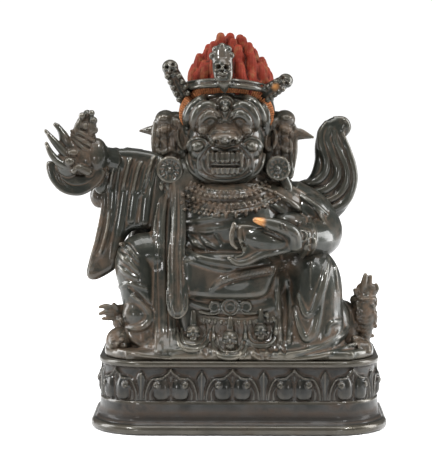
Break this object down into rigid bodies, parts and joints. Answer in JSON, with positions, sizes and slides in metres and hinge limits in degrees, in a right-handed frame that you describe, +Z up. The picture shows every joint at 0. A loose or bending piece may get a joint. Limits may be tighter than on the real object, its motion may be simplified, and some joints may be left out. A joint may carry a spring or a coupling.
{
  "type": "mahakala figure",
  "caption": "Cast bronze figure of a squat wrathful guardian with a chopper, skull crown and wide sleeves, standing by its own weight on a lotus plinth.",
  "frame": {"origin": "centre of the plinth's flat underside", "axes": "+Z up, along the figure's height; +X to the viewer's right, along the plinth's long side; the figure faces -Y"},
  "size_m": [0.171, 0.095, 0.1974],
  "materials": {
    "plinth_bronze": "dark brown patina, satin, with pale brown dust in the recesses",
    "figure_bronze": "dark green-grey to brown patina, polished on the raised forms, red pigment on the hair"
  },
  "bodies": {
    "root": {"lotus_plinth": "plinth_bronze", "guardian_figure": "figure_bronze"}
  },
  "joints": []
}
